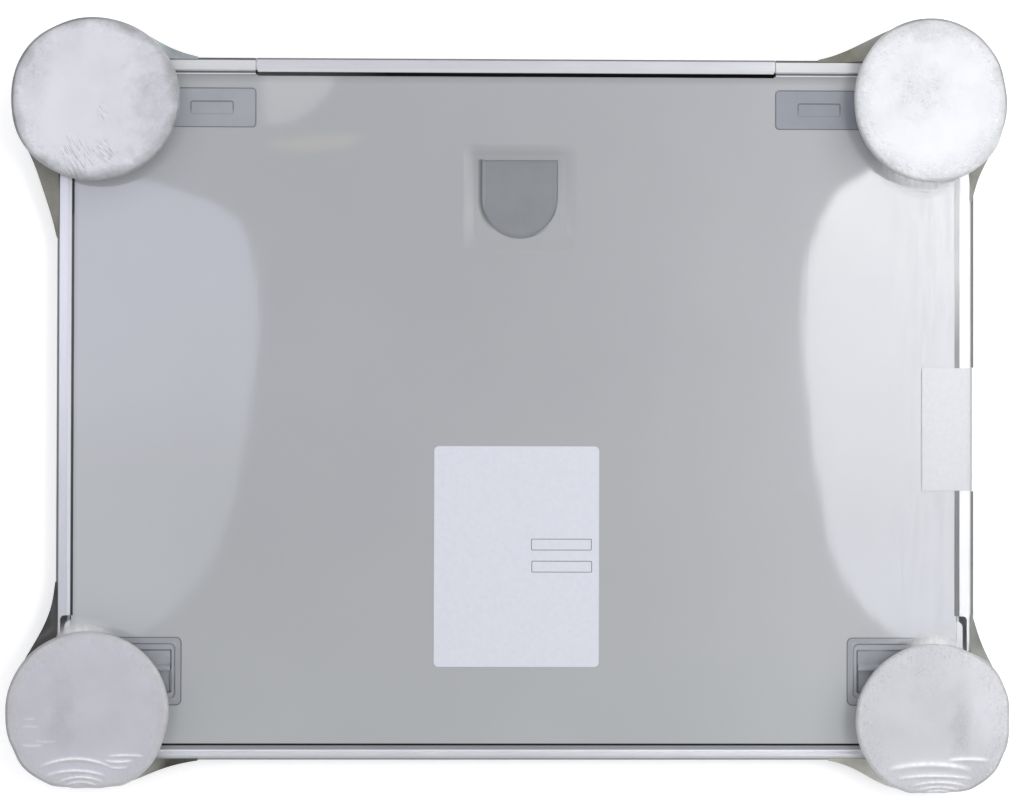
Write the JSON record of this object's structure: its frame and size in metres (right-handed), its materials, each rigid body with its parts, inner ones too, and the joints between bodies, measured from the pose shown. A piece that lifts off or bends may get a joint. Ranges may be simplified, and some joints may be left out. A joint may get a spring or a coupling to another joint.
{
  "type": "x-ray film cassette",
  "caption": "Flat hinged x-ray film cassette seen from its back, with sliding latches, an ID window shutter and a foam disc over each corner.",
  "frame": {"origin": "centre of the front (tube side) face, which the cassette lies on", "axes": "+X to the right seen from the back, +Y towards the hinge, -Y towards the latches, +Z out of the back"},
  "size_m": [0.4633, 0.3595, 0.0333],
  "materials": {
    "front_sheet": "fine-textured grey laminate",
    "rail_metal": "satin anodised extrusion",
    "corner_plastic": "moulded, fine grain",
    "inner_plastic": "moulded black",
    "steel": "bright steel",
    "screen_coating": "smooth white coating",
    "felt": "black felt",
    "back_sheet": "aluminium sheet with smooth light grey enamel",
    "frame_plastic": "moulded silver grey",
    "inner_sheet": "mill finish",
    "lead": "dull lead foil",
    "foam_black": "fine-celled soft foam",
    "hinge_metal": "bright rolled",
    "trim_plastic": "moulded blue-grey",
    "window_plastic": "moulded grey",
    "foam_white": "white foam disc under clear film"
  },
  "bodies": {
    "base": {"front_panel": "front_sheet", "top_rail": "rail_metal", "bottom_rail": "rail_metal", "left_rail": "rail_metal", "right_rail": "rail_metal", "front_screen": "screen_coating", "light_seal": "felt", "hinge_block_left": "inner_plastic", "hinge_pin_left": "steel", "latch_keeper_left": "steel", "corner_block_top_left": "corner_plastic", "corner_block_bottom_left": "corner_plastic", "hinge_block_right": "inner_plastic", "hinge_pin_right": "steel", "latch_keeper_right": "steel", "corner_block_top_right": "corner_plastic", "corner_block_bottom_right": "corner_plastic"},
    "lid": {"back_panel": "back_sheet", "lid_frame": "frame_plastic", "inner_plate": "inner_sheet", "lead_foil": "lead", "pressure_pad": "foam_black", "back_screen": "screen_coating", "hinge_screws": "steel", "shutter_guide": "inner_plastic", "hinge_leaf_left": "hinge_metal", "hinge_cover_left": "trim_plastic", "latch_bezel_left": "trim_plastic", "hinge_leaf_right": "hinge_metal", "hinge_cover_right": "trim_plastic", "latch_bezel_right": "trim_plastic"},
    "latch_left": {"latch_slider_left": "trim_plastic", "latch_bolt_left": "steel"},
    "latch_right": {"latch_slider_right": "trim_plastic", "latch_bolt_right": "steel"},
    "shutter": {"id_shutter": "window_plastic"},
    "pad_top_left": {"corner_pad_top_left": "foam_white"},
    "pad_top_right": {"corner_pad_top_right": "foam_white"},
    "pad_bottom_left": {"corner_pad_bottom_left": "foam_white"},
    "pad_bottom_right": {"corner_pad_bottom_right": "foam_white"}
  },
  "joints": [
    {"name": "lid_hinge", "type": "hinge", "parent": "base", "child": "lid", "pos_m": [0, 0.161, 0.012], "axis": [-1, 0, 0], "range_deg": [0, 90]},
    {"name": "shutter_slide", "type": "slide", "parent": "lid", "child": "shutter", "axis": [0, -1, 0], "range_m": [0, 0.038]},
    {"name": "latch_left_slide", "type": "slide", "parent": "lid", "child": "latch_left", "axis": [0, -1, 0], "range_m": [0, 0.0055]},
    {"name": "latch_right_slide", "type": "slide", "parent": "lid", "child": "latch_right", "axis": [0, -1, 0], "range_m": [0, 0.0055]},
    {"name": "pad_top_left_lift", "type": "slide", "parent": "lid", "child": "pad_top_left", "axis": [0, 0, 1], "range_m": [0, 0.06]},
    {"name": "pad_top_right_lift", "type": "slide", "parent": "lid", "child": "pad_top_right", "axis": [0, 0, 1], "range_m": [0, 0.06]},
    {"name": "pad_bottom_left_lift", "type": "slide", "parent": "lid", "child": "pad_bottom_left", "axis": [0, 0, 1], "range_m": [0, 0.06]},
    {"name": "pad_bottom_right_lift", "type": "slide", "parent": "lid", "child": "pad_bottom_right", "axis": [0, 0, 1], "range_m": [0, 0.06]}
  ]
}
